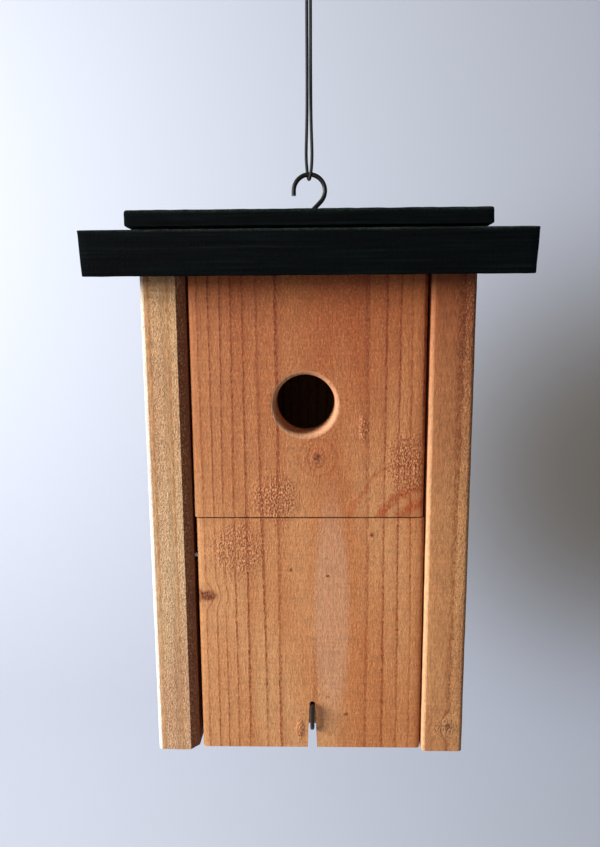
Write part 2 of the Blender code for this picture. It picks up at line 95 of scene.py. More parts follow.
def add(tree, kind, inputs=(), out=0, stops=(), **settings):
    """Adds a node with its settings, inputs and colour stops, and gives back one of its outputs."""
    made = tree.nodes.new("ShaderNode" + kind)
    for name, value in settings.items():
        setattr(made, name, value)
    for key, value in dict(inputs).items():
        if isinstance(value, bpy.types.NodeSocket):
            tree.links.new(value, made.inputs[key])
        else:
            made.inputs[key].default_value = value
    if stops:
        made.color_ramp.elements.remove(made.color_ramp.elements[1])
        made.color_ramp.elements[0].position, made.color_ramp.elements[0].color = stops[0]
        for place, colour in stops[1:]:
            made.color_ramp.elements.new(place).color = colour
    return made.outputs[out]


def new_finish(name, roughness, metallic=0.0, **inputs):
    """A material with its own Principled shader: (material, tree, shader)."""
    finish = bpy.data.materials.new(name)
    finish.use_nodes = True
    shader = finish.node_tree.nodes["Principled BSDF"]
    shader.inputs["Roughness"].default_value = roughness
    shader.inputs["Metallic"].default_value = metallic
    for key, value in inputs.items():
        shader.inputs[key.replace("_", " ")].default_value = value
    return finish, finish.node_tree, shader


def grey(value):
    return (value, value, value, 1.0)


print("tools ready; a mid grey of #808080 is", round(linear("#808080")[0], 3), "in linear light")

# %% [markdown]
# ## The string
# A black string is doubled through the hook's ring and goes straight up to a knot, so two strands
# hang side by side. Each strand is a curve through measured points, given a round section. It
# starts under the wire of the ring, where the two strands meet, bends round the wire at about twice
# its own thickness, and is pulled straight by the weight of the box.

# %% Braided string finish
# Braided polyester string: fine crossing threads, dark, with greyish green painted highlights along the
# fibres.
# The threads are drawn 0.5 mm wide, twice the real ones, because finer ones would not show.
string_finish, tree, shader = new_finish("black_braided_polyester", 0.75, Sheen_Weight=0.08)
spot = add(tree, "TexCoord", out="Object")
threads = add(tree, "Mapping", {"Vector": spot, "Scale": (2000, 2000, 180)})
strands = add(tree, "TexNoise", {"Vector": threads, "Scale": 1.0, "Detail": 2.0})
slant = add(tree, "Mapping", {"Vector": spot, "Rotation": (0, 0.5, 0), "Scale": (1000, 1000, 1000)})
plait = add(tree, "TexWave", {"Vector": slant, "Scale": 0.30, "Distortion": 1.5}, out="Fac")
depth = add(tree, "Math", {0: strands, 1: plait}, operation="MULTIPLY")
shade = add(
    tree,
    "ValToRGB",
    {"Fac": depth},
    stops=[(0.08, linear("#020303")), (0.36, linear("#0B0E0F")), (0.70, linear("#39433F"))],
)
tree.links.new(shade, shader.inputs["Base Color"])
relief = add(tree, "Bump", {"Height": depth, "Distance": 0.0004, "Strength": 0.8})
tree.links.new(relief, shader.inputs["Normal"])
print("made", string_finish.name)

# %% Two strands
STRING = 0.002
hook_low, hook_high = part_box("hanging_hook")
knot_low, knot_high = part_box("string_knot")
RING_TOP = Vector(((knot_low.x + knot_high.x) / 2, 0, hook_high.z - 0.0014))

# Millimetres from the wire's centre at the top of the ring, from the bight upwards.
FRONT_ROUTE = [
    (0.10, -0.15, -2.80),
    (0.35, -1.60, -2.45),
    (0.70, -2.80, -1.35),
    (1.00, -3.35, 0.30),
    (1.25, -3.35, 2.20),
    (1.45, -3.00, 4.60),
    (1.62, -2.45, 7.60),
    (1.70, -1.85, 11.2),
    (1.66, -1.20, 15.6),
    (1.50, -0.60, 21.0),
    (1.30, -0.15, 28.0),
    (1.18, 0.25, 36.0),
    (1.10, 0.45, 45.0),
    (1.08, 0.35, 55.0),
    (1.06, 0.10, 66.0),
    (1.08, -0.20, 78.0),
    (1.10, -0.35, 90.0),
    (1.10, -0.35, 102.7),
]
REAR_ROUTE = [
    (-0.10, 0.15, -2.80),
    (-0.35, 1.60, -2.45),
    (-0.70, 2.80, -1.35),
    (-1.00, 3.35, 0.30),
    (-1.25, 3.35, 2.20),
    (-1.50, 3.00, 4.60),
    (-1.72, 2.45, 7.60),
    (-1.85, 1.85, 11.2),
    (-1.80, 1.20, 15.6),
    (-1.62, 0.60, 21.0),
    (-1.40, 0.15, 28.0),
    (-1.22, -0.25, 36.0),
    (-1.12, -0.45, 45.0),
    (-1.08, -0.35, 55.0),
    (-1.06, -0.10, 66.0),
    (-1.08, 0.20, 78.0),
    (-1.10, 0.35, 90.0),
    (-1.10, 0.35, 102.7),
]


def make_strand(name, route, stands_for):
    """One strand as a smooth curve through its route, with a round section."""
    data = bpy.data.curves.new(name, "CURVE")
    data.dimensions = "3D"
    data.bevel_depth = STRING / 2
    data.bevel_resolution = 3
    data.resolution_u = 5
    data.use_fill_caps = True
    line = data.splines.new("BEZIER")
    line.bezier_points.add(len(route) - 1)
    for point, place in zip(line.bezier_points, route):
        point.co = RING_TOP + Vector(place) / 1000
        point.handle_left_type = point.handle_right_type = "AUTO"
    data.materials.append(string_finish)
    made = bpy.data.objects.new(name, data)
    bpy.context.scene.collection.objects.link(made)
    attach(made, "box")
    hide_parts(stands_for)
    length = sum((Vector(b) - Vector(a)).length for a, b in zip(route, route[1:])) / 1000
    print(name, "is", round(length, 4), "m long")
    return made, length


front_strand, front_length = make_strand("front_strand", FRONT_ROUTE, "string_front_strand")
rear_strand, rear_length = make_strand("rear_strand", REAR_ROUTE, "string_rear_strand")

# %% [markdown]
# ## Selecting by place
# By hand one would click on a face or an edge. In a script the same choice is made with a test on
# where it lies and which way it runs. Everything is deselected first, because an operator acts on
# all that is selected, and the loaded model starts out selected.


# %% Tools for modelling
def only(thing):
    """Selects this object alone and makes it the active one."""
    if bpy.context.mode != "OBJECT":
        bpy.ops.object.mode_set(mode="OBJECT")
    bpy.ops.object.select_all(action="DESELECT")
    thing.select_set(True)
    bpy.context.view_layer.objects.active = thing


def pick(thing, kind, test):
    """Goes into edit mode with only those parts selected that pass test(middle, direction)."""
    only(thing)
    bpy.ops.object.mode_set(mode="EDIT")
    bpy.ops.mesh.select_mode(type=kind)
    bpy.ops.mesh.select_all(action="DESELECT")
    shape = bmesh.from_edit_mesh(thing.data)
    if kind == "FACE":
        for face in shape.faces:
            if test(face.calc_center_median(), face.normal):
                face.select_set(True)
    elif kind == "EDGE":
        for edge in shape.edges:
            first, second = (vert.co for vert in edge.verts)
            if test((first + second) / 2, (second - first).normalized()):
                edge.select_set(True)
    else:
        for vert in shape.verts:
            if test(vert.co, vert.normal):
                vert.select_set(True)
    bmesh.update_edit_mesh(thing.data)


def done(thing):
    """Leaves edit mode, and turns all faces outwards."""
    bpy.ops.mesh.select_all(action="SELECT")
    bpy.ops.mesh.normals_make_consistent(inside=False)
    bpy.ops.object.mode_set(mode="OBJECT")


def apply_modifiers(thing):
    only(thing)
    for modifier in list(thing.modifiers):
        bpy.ops.object.modifier_apply(modifier=modifier.name)


print("tools ready")

# %% [markdown]
# ## The knot
# The two ends are tied together in one overhand knot. Seen from outside, such a knot is two or
# three doubled turns lying slantwise on top of each other. Each turn is a torus, tilted a little
# the other way from the one below, round a small core that closes the middle. The lowest turn is a
# millimetre too high: it should touch the ends of the strands, and still has to be lowered.

# %% Tie the knot
knot_middle = (knot_low + knot_high) / 2
TURNS = [(-0.0026, 14, 0.0023), (-0.0009, -16, 0.0026), (0.0010, 15, 0.0026), (0.0027, -12, 0.0022)]

bpy.ops.object.select_all(action="DESELECT")
bpy.ops.mesh.primitive_uv_sphere_add(segments=24, ring_count=12, radius=0.0028, location=knot_middle)
knot = bpy.context.object
knot.name = knot.data.name = "overhand_knot"
bpy.ops.object.mode_set(mode="EDIT")
bpy.ops.transform.resize(value=(0.9, 0.9, 1.45), center_override=knot_middle)
for rise, tilt, radius in TURNS:
    place = knot_middle + Vector((0, 0, rise))
    bpy.ops.mesh.select_all(action="DESELECT")
    bpy.ops.mesh.primitive_torus_add(
        major_radius=radius,
        minor_radius=STRING / 2,
        major_segments=36,
        minor_segments=12,
        location=place,
        rotation=(math.radians(tilt), math.radians(tilt / 2), 0),
    )
only(knot)
bpy.ops.object.transform_apply(location=True, rotation=True, scale=True)
bpy.ops.object.shade_smooth()
knot.data.materials.clear()
knot.data.materials.append(string_finish)
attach(knot, "box")
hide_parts("string_knot")
print("knot of", len(TURNS), "turns,", len(knot.data.polygons), "faces")

print("string declared:", round(front_length + rear_length, 3), "m in all")

# %% [markdown]
# ## A plank
# Every board starts as a cube stretched to the board's size and place. Its long edges are eased
# with a bevel, and then rings of cuts are put in along each direction, so that there are points
# enough for the plane and the weather to leave their marks. Those marks come from one Displace
# modifier with a cloud pattern: a tenth of a millimetre or two, as much as a saw leaves.


# %% Tools for planks
def plank(name, low, high):
    """A cube stretched between two corners, with its place in its mesh."""
    bpy.ops.object.select_all(action="DESELECT")
    bpy.ops.mesh.primitive_cube_add(size=1, location=(low + high) / 2, scale=high - low)
    made = bpy.context.object
    made.name = made.data.name = name
    bpy.ops.object.transform_apply(location=True, rotation=True, scale=True)
    return made


def ease(thing, test, radius, segments, profile=0.5):
    """Rounds the edges that pass the test. A low profile leaves them nearly flat, as a plane does."""
    pick(thing, "EDGE", test)
    bpy.ops.mesh.bevel(offset=radius, segments=segments, profile=profile, affect="EDGES")
    done(thing)


def slice_off(thing, place, normal):
    """Saws off all that lies on the normal's side of a plane, and closes the cut."""
    only(thing)
    bpy.ops.object.mode_set(mode="EDIT")
    bpy.ops.mesh.select_all(action="SELECT")
    bpy.ops.mesh.bisect(plane_co=place, plane_no=normal, use_fill=True, clear_outer=True)
    done(thing)


def cut_rings(thing, cell):
    """Cuts rings across a plank in each direction, a cell apart."""
    size = thing.dimensions.copy()
    for axis in range(3):
        cuts = round(size[axis] / cell) - 1
        if cuts < 1:
            continue
        pick(thing, "EDGE", lambda middle, way, axis=axis: abs(way[axis]) > 0.9999)
        bpy.ops.mesh.subdivide(number_cuts=cuts)
        done(thing)


def roughen(thing, amount, grain):
    """Moves the surface in and out by about this amount, in patches of the grain's size."""
    pattern = bpy.data.textures.new(thing.name + "_sawing", "CLOUDS")
    pattern.noise_scale = grain
    pattern.noise_depth = 2
    sawing = thing.modifiers.new("sawing", "DISPLACE")
    sawing.texture = pattern
    sawing.texture_coords = "OBJECT"
    sawing.strength = amount * 2
    sawing.mid_level = 0.5
    apply_modifiers(thing)


def carve(thing, cutter):
    """Subtracts the cutter from the board, and throws the cutter away."""
    only(thing)
    taken = thing.modifiers.new("carve", "BOOLEAN")
    taken.operation = "DIFFERENCE"
    taken.solver = "EXACT"
    taken.object = cutter
    bpy.ops.object.modifier_apply(modifier=taken.name)
    bpy.data.objects.remove(cutter, do_unlink=True)


DENT_RADIUS = 0.0031
DENT_DRILL = 0.004
DENT_LIFT = 0.0008


def dent_for_nails(thing, out, *words):
    """Sinks the heads of the nails whose names hold all the words, driven in against out."""
    turn = out.to_track_quat("Z", "Y").to_euler()
    dents = None
    for name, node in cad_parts.items():
        if "nail" not in name or not all(word in name for word in words):
            continue
        if abs(out.x) > 0.5 and ("_roof_" in name or "_cap_" in name):
            continue
        points = [vert.co for vert in node.data.vertices]
        top = max(point.dot(out) for point in points)
        rim = [point for point in points if point.dot(out) > top - 0.0001]
        head = sum(rim, Vector()) / len(rim)
        if dents:
            bpy.ops.object.mode_set(mode="EDIT")
            bpy.ops.mesh.select_all(action="DESELECT")
        else:
            bpy.ops.object.select_all(action="DESELECT")
        bpy.ops.mesh.primitive_cylinder_add(
            vertices=24,
            radius=DENT_RADIUS,
            depth=DENT_DRILL,
            location=head + out * DENT_LIFT,
            rotation=turn,
        )
        if dents:
            bpy.ops.object.mode_set(mode="OBJECT")
        else:
            dents = bpy.context.object
            bpy.ops.object.transform_apply(location=True, rotation=True, scale=True)
    carve(thing, dents)


def finish_plank(thing, material, body, node):
    """Shades it, paints it, and sets it in the place of its measured board."""
    only(thing)
    bpy.ops.object.shade_smooth_by_angle(angle=math.radians(40))
    thing.data.materials.clear()
    thing.data.materials.append(material)
    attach(thing, body)
    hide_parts(node)
    triangles = sum(len(face.vertices) - 2 for face in thing.data.polygons)
    print(thing.name, [round(side * 1000, 1) for side in thing.dimensions], "mm,", triangles, "triangles")


def upright(middle, way):
    return abs(way.z) > 0.999


print("tools ready")

# %% [markdown]
# ## Fir
# Fir is pale reddish wood with darker lines. Each line is the dense late wood of one year, and the
# years are tubes round the middle of the trunk, the pith. So the pattern is not painted on: it is
# the distance of each point from the pith, cut up into years, and a flat board cuts those tubes
# wide apart in its middle and close together near its edges by itself. Noise stretched along the
# trunk lets the lines sway. A knot is the root of a branch, and the years swell round it, which is
# done by adding a bump to the distance there. Where the saw tore the wood, short dark pits and
# pale raised fibres stand close together.


# %% Fir material
KNOT_RED = "#6E2C06"
FIR_RELIEF = 0.0006


def oval(tree, spot, middle, half):
    """How far a point is from the middle of an oval that runs through the board: 1 at its edge."""
    away = add(tree, "VectorMath", {0: spot, 1: middle}, operation="SUBTRACT")
    scale = [1 / side if side else 0 for side in half]
    scaled = add(tree, "VectorMath", {0: away, 1: scale}, operation="MULTIPLY")
    return add(tree, "VectorMath", {0: scaled}, out="Value", operation="LENGTH")


def fir(name, pale, blush, dark, pith, year, knots=(), collars=(), torn=(), patches_and_painted_light=(), **look):
    """Fir with years of this many millimetres round a pith, all in millimetres, along Z."""
    finish, tree, shader = new_finish(name, look.get("roughness", 0.7))
    spot = add(tree, "TexCoord", out="Object")
    spot = add(tree, "Mapping", {"Vector": spot, "Scale": (1000, 1000, 1000)})
    along = add(tree, "VectorMath", {0: spot, 1: (1, 1, 0.05)}, operation="MULTIPLY")

    # Distance from the pith, swaying slowly, with a fine jagged edge
    away = add(tree, "VectorMath", {0: spot, 1: pith}, operation="SUBTRACT")
    away = add(tree, "VectorMath", {0: away, 1: (1, 1, 0)}, operation="MULTIPLY")
    depth = add(tree, "VectorMath", {0: away}, out="Value", operation="LENGTH")
    slow = add(tree, "TexNoise", {"Vector": along, "Scale": 0.045, "Detail": 1.0})
    depth = add(tree, "Math", {0: slow, 1: look.get("sway", 9.0), 2: depth}, operation="MULTIPLY_ADD")
    hairs = add(tree, "VectorMath", {0: spot, 1: (1, 1, 0.30)}, operation="MULTIPLY")
    jagged = add(tree, "TexNoise", {"Vector": hairs, "Scale": 0.55, "Detail": 3.0, "Roughness": 0.7})
    depth = add(tree, "Math", {0: jagged, 1: look.get("jag", 1.5), 2: depth}, operation="MULTIPLY_ADD")

    # Years swell round the knots
    cores = []
    for middle, half, reach, swell in knots:
        far = oval(tree, spot, middle, half)
        cores.append(far)
        bump = add(
            tree,
            "MapRange",
            {"Value": far, "From Min": 0.0, "From Max": reach, "To Min": swell, "To Max": 0.0},
            interpolation_type="SMOOTHERSTEP",
        )
        depth = add(tree, "Math", {0: depth, 1: bump}, operation="ADD")

    years = add(tree, "Math", {0: depth, 1: year}, operation="DIVIDE")
    ring = add(tree, "Math", {0: years}, operation="FRACT")
    late = add(
        tree,
        "ValToRGB",
        {"Fac": ring},
        stops=[(0, grey(0.2)), (0.05, grey(0)), (0.5, grey(0.05)), (0.8, grey(0.3)), (0.9, grey(1))],
    )
    strength = add(tree, "TexNoise", {"Vector": along, "Scale": 0.11, "Detail": 1.0})
    strength = add(
        tree,
        "MapRange",
        {"Value": strength, "From Min": 0.35, "From Max": 0.62, "To Min": 0.55, "To Max": 1.0},
    )
    late = add(tree, "Math", {0: late, 1: strength}, operation="MULTIPLY")
    dashes = add(tree, "VectorMath", {0: spot, 1: (1, 1, 0.55)}, operation="MULTIPLY")
    dashes = add(tree, "TexNoise", {"Vector": dashes, "Scale": 0.85, "Detail": 2.0, "Roughness": 0.6})
    broken = add(
        tree,
        "MapRange",
        {"Value": dashes, "From Min": 0.40, "From Max": 0.58, "To Min": 1.1, "To Max": 0.55},
    )
    late = add(tree, "Math", {0: late, 1: broken}, operation="MULTIPLY", use_clamp=True)
    for middle, half in look.get("calm", ()):
        near = oval(tree, spot, middle, half)
        near = add(
            tree, "MapRange", {"Value": near, "From Min": 0.75, "From Max": 1.05, "To Min": 0.12}
        )
        late = add(tree, "Math", {0: late, 1: near}, operation="MULTIPLY")

    # Broad tints, then the late wood
    patch = add(tree, "VectorMath", {0: spot, 1: (1, 1, 0.22)}, operation="MULTIPLY")
    tint = add(tree, "TexNoise", {"Vector": patch, "Scale": 0.035, "Detail": 2.0})
    tint = add(tree, "MapRange", {"Value": tint, "From Min": 0.35, "From Max": 0.66})
    colour = add(tree, "Mix", {0: tint, 6: linear(pale), 7: linear(blush)}, out=2, data_type="RGBA")
    colour = add(tree, "Mix", {0: late, 6: colour, 7: linear(dark)}, out=2, data_type="RGBA")
    # Patches of another colour: some are the wood's own paler colour, some are painted highlights and
    # painted shade on eased edges
    for middle, half, shade, share, fade in patches_and_painted_light:
        near = oval(tree, spot, middle, half)
        near = add(
            tree,
            "MapRange",
            {"Value": near, "From Min": 1 - fade, "From Max": 1 + fade, "To Min": share, "To Max": 0.0},
            interpolation_type="SMOOTHSTEP",
        )
        colour = add(tree, "Mix", {0: near, 6: colour, 7: linear(shade)}, out=2, data_type="RGBA")

    # Painted shade under the roof's overhang: higher up, the wood is darker and redder
    height_up = add(tree, "SeparateXYZ", {0: spot}, out=2)
    roof_shade_mask = add(tree, "MapRange", {"Value": height_up, "From Min": 110.0, "From Max": 275.0})
    redder = linear(look.get("redder", "#E9CDB9"))
    colour = add(
        tree, "Mix", {0: roof_shade_mask, 6: colour, 7: redder}, out=2, data_type="RGBA", blend_type="MULTIPLY"
    )

    # Collars: single dark rings that run round a knot
    for middle, half, width, share in collars:
        away = oval(tree, spot, middle, half)
        away = add(tree, "Math", {0: slow, 1: 0.5, 2: away}, operation="MULTIPLY_ADD")
        away = add(tree, "Math", {0: away, 1: 1.25}, operation="SUBTRACT")
        away = add(tree, "Math", {0: away}, operation="ABSOLUTE")
        band = add(
            tree,
            "MapRange",
            {"Value": away, "From Min": 0.0, "From Max": width, "To Min": share, "To Max": 0.0},
            interpolation_type="SMOOTHSTEP",
        )
        band = add(tree, "Math", {0: band, 1: broken}, operation="MULTIPLY", use_clamp=True)
        above = add(
            tree, "Math", {0: height_up, 1: look.get("cut", -1.0)}, operation="GREATER_THAN"
        )
        band = add(tree, "Math", {0: band, 1: above}, operation="MULTIPLY")
        ring_shade = linear(look.get("collar", dark))
        colour = add(tree, "Mix", {0: band, 6: colour, 7: ring_shade}, out=2, data_type="RGBA")

    # Knots: dark red, ringed, darkest at the heart
    for (middle, half, reach, swell), far in zip(knots, cores):
        heart = add(
            tree,
            "MapRange",
            {"Value": far, "From Min": 0.35, "From Max": 1.25, "To Min": 1.15, "To Max": 0.0},
            interpolation_type="SMOOTHSTEP",
        )
        heart = add(tree, "Math", {0: heart, 1: broken}, operation="MULTIPLY", use_clamp=True)
        colour = add(
            tree,
            "Mix",
            {0: heart, 6: colour, 7: linear(KNOT_RED)},
            out=2,
            data_type="RGBA",
        )

    # Torn grain: pits and raised fibres
    grit_scale = look.get("grit_scale", 0.9)
    grit = add(tree, "TexNoise", {"Vector": hairs, "Scale": grit_scale, "Detail": 4.0, "Roughness": 0.75})
    pits = add(tree, "VectorMath", {0: spot, 1: (1, 1, look.get("pit_stretch", 0.7))}, operation="MULTIPLY")
    pits = add(tree, "TexNoise", {"Vector": pits, "Scale": 1.0, "Detail": 2.0, "Roughness": 0.6})
    rough_height = add(tree, "Math", {0: grit, 1: look.get("grit", 0.5)}, operation="MULTIPLY")
    soft = add(
        tree,
        "MapRange",
        {"Value": ring, "From Min": 0.55, "From Max": 0.80, "To Min": 1.0, "To Max": look.get("hard", 0.6)},
    )
    for middle, half, share in torn:
        near = oval(tree, spot, middle, half)
        wander = add(tree, "Math", {0: slow, 1: 0.8, 2: near}, operation="MULTIPLY_ADD")
        near = add(
            tree,
            "MapRange",
            {"Value": wander, "From Min": 0.75, "From Max": 1.6, "To Min": share, "To Max": 0.0},
            interpolation_type="SMOOTHSTEP",
        )
        near = add(tree, "Math", {0: near, 1: soft}, operation="MULTIPLY")
        stain = add(tree, "Math", {0: near, 1: look.get("stain", 0.0)}, operation="MULTIPLY")
        colour = add(
            tree,
            "Mix",
            {0: stain, 6: colour, 7: linear(look.get("collar", dark))},
            out=2,
            data_type="RGBA",
        )
        low = add(
            tree,
            "MapRange",
            {"Value": pits, "From Min": 0.37, "From Max": 0.47, "To Min": 1.0, "To Max": 0.0},
        )
        low = add(tree, "Math", {0: low, 1: near}, operation="MULTIPLY")
        high = add(tree, "MapRange", {"Value": pits, "From Min": 0.52, "From Max": 0.64})
        high = add(tree, "Math", {0: high, 1: near}, operation="MULTIPLY")
        colour = add(
            tree,
            "Mix",
            {0: low, 6: colour, 7: linear(look.get("pit", "#6A3319"))},
            out=2,
            data_type="RGBA",
        )
        colour = add(
            tree,
            "Mix",
            {0: high, 6: colour, 7: linear(look.get("fibre", "#E2B48A"))},
            out=2,
            data_type="RGBA",
        )
        rise = add(tree, "Math", {0: pits, 1: near}, operation="MULTIPLY")
        rough_height = add(tree, "Math", {0: rise, 1: 2.2, 2: rough_height}, operation="MULTIPLY_ADD")

    # Fine fibres and saw strokes across the grain
    strokes = add(tree, "VectorMath", {0: spot, 1: (0.06, 0.06, 0.9)}, operation="MULTIPLY")
    strokes = add(tree, "TexNoise", {"Vector": strokes, "Scale": 1.0, "Detail": 1.0})
    mottle = add(
        tree,
        "MapRange",
        {"Value": grit, "From Min": 0.3, "From Max": 0.7, "To Min": look.get("low", 0.80), "To Max": 1.18},
    )
    colour = add(
        tree, "Mix", {0: 1.0, 6: colour, 7: mottle}, out=2, data_type="RGBA", blend_type="MULTIPLY"
    )
    sawn = add(
        tree,
        "MapRange",
        {"Value": strokes, "From Min": 0.35, "From Max": 0.65, "To Min": 0.95, "To Max": 1.05},
    )
    colour = add(
        tree, "Mix", {0: 1.0, 6: colour, 7: sawn}, out=2, data_type="RGBA", blend_type="MULTIPLY"
    )
    tree.links.new(colour, shader.inputs["Base Color"])

    height = add(tree, "Math", {0: strokes, 1: 0.25, 2: rough_height}, operation="MULTIPLY_ADD")
    height = add(tree, "Math", {0: late, 1: 0.20, 2: height}, operation="MULTIPLY_ADD")
    relief = add(tree, "Bump", {"Height": height, "Distance": FIR_RELIEF, "Strength": 0.7})
    tree.links.new(relief, shader.inputs["Normal"])
    print("made", name, "with", len(tree.nodes), "nodes")
    return finish


# %% [markdown]
# ## Three boards, three trees
# The front and the door are sawn from one smooth reddish board, so they share one material and the
# lines run on from one to the other. The left side is a yellower board and the right side a browner
# one, both rough from the saw. Hidden boards use the brown one too.

# %% Fir for the front, the sides and the back
# Planed reddish fir: quite matt, with lines 5 to 12 mm apart and several knots.
ARCHES = (64, 0, 128)
EYE_KNOT = (4.6, 0, 169.7)
red_fir = fir(
    "planed_reddish_fir",
    pale="#DDA26C",
    blush="#CC8149",
    dark="#96450F",
    pith=(7.5, -24, 0),
    year=4.55,
    sway=6.0,
    jag=1.1,
    redder="#CD9768",
    calm=[((12.5, 0, 100), (10.5, None, 400))],
    cut=136.8,
    collar="#A8440F",
    stain=0.45,
    knots=[
        (EYE_KNOT, (2.4, None, 3.8), 4.2, 6.0),
        ((-56.5, 0, 92), (6.5, None, 3.6), 3.0, 3.0),
        ((34.4, 0, 127), (1.1, None, 1.9), 4.0, 1.5),
        ((10.5, 0, 103.6), (1.4, None, 0.8), 4.0, 1.0),
        ((-9.8, 0, 107), (1.0, None, 1.2), 4.0, 1.0),
        ((10.5, 0, 31.6), (1.2, None, 0.6), 4.0, 1.0),
        ((20.8, 0, 21.2), (1.3, None, 1.3), 4.0, 1.5),
    ],
    collars=[
        (EYE_KNOT, (5.0, None, 5.8), 0.22, 0.6),
        (EYE_KNOT, (11.0, None, 11.5), 0.10, 0.45),
        (ARCHES, (17, None, 17), 0.26, 1.0),
        (ARCHES, (26, None, 26), 0.15, 1.0),
        (ARCHES, (41, None, 41), 0.06, 0.55),
    ],
    torn=[
        ((0, 0, 140), (90, None, 400), 0.20),
        ((-17, 0, 147), (15, None, 15), 0.9),
        ((53, 0, 167), (12, None, 20), 0.9),
        ((29.5, 0, 186), (2.6, None, 8), 1.0),
        ((-40, 0, 118), (20, None, 18), 0.75),
        (EYE_KNOT, (6, None, 7), 0.3),
        ((-5.2, 0, 12), (2.6, None, 8), 1.0),
    ],
    patches_and_painted_light=[
        ((12.5, 0, 84), (9.5, None, 62), "#DDB08E", 0.45, 0.3),
        # pale cream rim round the entrance hole: paler end grain, and a painted highlight
        ((-1.5, 0, 198.2), (18.2, None, 18.2), "#F2CFAC", 0.6, 0.02),
    ],
    pit="#7C3810",
    fibre="#E6B680",
    grit=0.8,
    low=0.76,
    hard=0.75,
)
# Rough sawn yellowish fir: a dotted, furry surface, smooth only along the hard late wood. Its outer
# front edge gets a near-white painted highlight, where the window light falls. Its inner front edge,
# planed off deeper, gets a dark red-brown painted shade, as it faces away from the light.
tan_fir = fir(
    "rough_sawn_yellow_fir",
    pale="#E3BD8F",
    blush="#D4A37B",
    dark="#B9834F",
    pith=(-110, -70, 0),
    year=10.2,
    sway=3.0,
    jag=1.2,
    redder="#F2E4D4",
    torn=[((-78, 0, 140), (60, 200, 400), 0.5)],
    patches_and_painted_light=[
        # near-white painted highlight on the outer front edge, where the window light falls
        ((-86.8, -76.3, 140), (2.6, 2.6, 400), "#FFF8EC", 0.9, 0.15),
        # dark red-brown painted shade on the inner front chamfer, which faces away from the light
        ((-60, 0, 0), (7.9, None, None), "#96502B", 0.85, 0.02),
    ],
    pit="#94623A",
    fibre="#F0D2A8",
    pit_stretch=0.8,
    roughness=0.85,
    grit=0.8,
    grit_scale=0.9,
    low=0.66,
    hard=0.12,
)
# Rough sawn brown fir: the same, from a darker board, with one knot low down, and a pale painted
# highlight on its inner front edge, which faces the window light.
brown_fir = fir(
    "rough_sawn_brown_fir",
    pale="#D79C66",
    blush="#C28250",
    dark="#93501F",
    pith=(50, 30, 0),
    year=6.0,
    sway=5.0,
    redder="#B98462",
    knots=[((78, -76, 15), (1.6, 30, 2.4), 5.0, 3.0)],
    torn=[((84, 0, 140), (14, 200, 400), 0.45), ((76, -76, 14), (7, 30, 9), 1.0)],
    # pale painted highlight on the inner front rounding, which faces the window light
    patches_and_painted_light=[((64.2, -75.4, 140), (1.3, 2.4, 400), "#E9BF94", 0.5, 0.25)],
    pit="#7A431E",
    fibre="#E2B080",
    pit_stretch=0.8,
    roughness=0.85,
    grit=0.8,
    grit_scale=0.9,
    low=0.66,
    hard=0.45,
)

# %% [markdown]
# ## The side boards
# Each side is one thick board that stands on its end, sawn to the slope of the roof at its top. The
# edges that hands meet are planed off, the left board's inner one most. The cube is eased while it
# still has only twelve edges, then sawn off twice along the roof's slope, and cut into rings. Last
# come the dents in which the nails' heads sit.

# %% Make the side boards
ROOF_SLOPE = math.radians(8.4)
uphill_front = Vector((0, -math.sin(ROOF_SLOPE), math.cos(ROOF_SLOPE)))
uphill_rear = Vector((0, math.sin(ROOF_SLOPE), math.cos(ROOF_SLOPE)))

for hand, material, slot in (("left", tan_fir, "tan_wood"), ("right", brown_fir, "brown_wood")):
    low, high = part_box(hand + "_side_board")
    side = plank(hand + "_side", low, high)
    sign = -1 if hand == "left" else 1
    outer_x = sign * max(abs(low.x), abs(high.x))
    radius, segments, profile = (0.0044, 2, 0.25) if hand == "left" else (0.0024, 5, 0.5)

    def on_outside(middle, way, at=outer_x):
        return upright(middle, way) and abs(middle.x - at) < 0.001

    def on_inner_front(middle, way, at=outer_x, front=low.y):
        return upright(middle, way) and abs(middle.x - at) > 0.02 and middle.y < front + 0.001

    ease(side, on_outside, 0.0023, 4)
    ease(side, on_inner_front, radius, segments, profile)
    peak = Vector((0, 0, high.z))
    slice_off(side, peak, uphill_front)
    slice_off(side, peak, uphill_rear)
    cut_rings(side, 0.004)
    roughen(side, 0.00018, 0.012)
    dent_for_nails(side, Vector((sign, 0, 0)), hand)
    finish_plank(side, material, "box", hand + "_side_board")

# %% [markdown]
# ## The front panel and its hole
# The fixed upper half of the front has the entrance, bored with a 32 mm bit, its rim rounded over
# so that no bird hurts itself. The cutter is a cylinder whose front end is drawn out in small steps,
# each a little wider than the last: subtracted from the board, those steps leave the rounded rim.

# %% Make the front panel
low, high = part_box("upper_front_panel")
FRONT = low.y
HOLE_RADIUS = 0.016
HOLE_RIM = 0.0023
hole = Vector((-0.0015, FRONT, 0.1982))

panel = plank("front_panel", low, high)
ease(panel, lambda middle, way: upright(middle, way) and middle.y < FRONT + 0.001, 0.0022, 3)
slice_off(panel, Vector((0, high.y, high.z)), uphill_front)
cut_rings(panel, 0.004)

